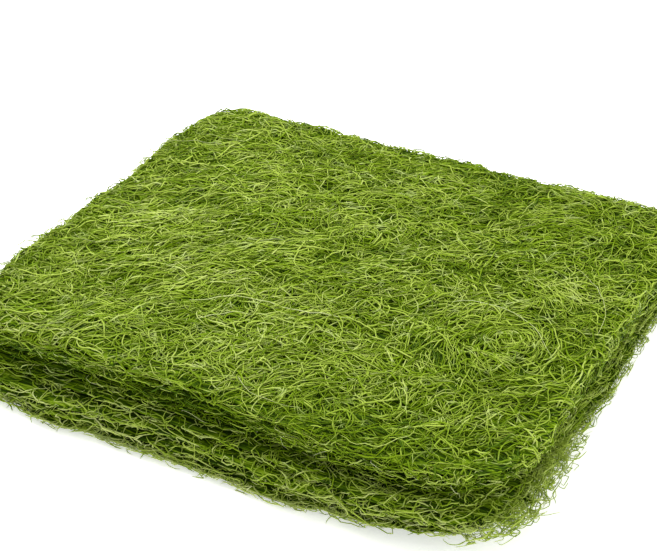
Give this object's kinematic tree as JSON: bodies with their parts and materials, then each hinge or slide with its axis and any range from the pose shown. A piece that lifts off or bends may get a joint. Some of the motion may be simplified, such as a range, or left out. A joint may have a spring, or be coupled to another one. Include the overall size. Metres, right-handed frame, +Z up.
{
  "type": "dried seaweed sheet stack",
  "caption": "Squared stack of dried stringy green seaweed sheets, felted from fine strands and laid a little askew, with ragged rims and loose strands.",
  "frame": {"origin": "middle of the stack's footprint, on the surface that it stands on", "axes": "+X along the sheets' longer side, +Y towards the back, +Z up through the sheets"},
  "size_m": [0.226, 0.2068, 0.0375],
  "materials": {
    "seaweed": "dry felted strands, slightly glossy"
  },
  "bodies": {
    "root": {"sheet_1": "seaweed", "sheet_2": "seaweed", "sheet_3": "seaweed", "sheet_4": "seaweed", "sheet_5": "seaweed", "sheet_6": "seaweed", "sheet_7": "seaweed", "sheet_8": "seaweed"}
  },
  "joints": []
}
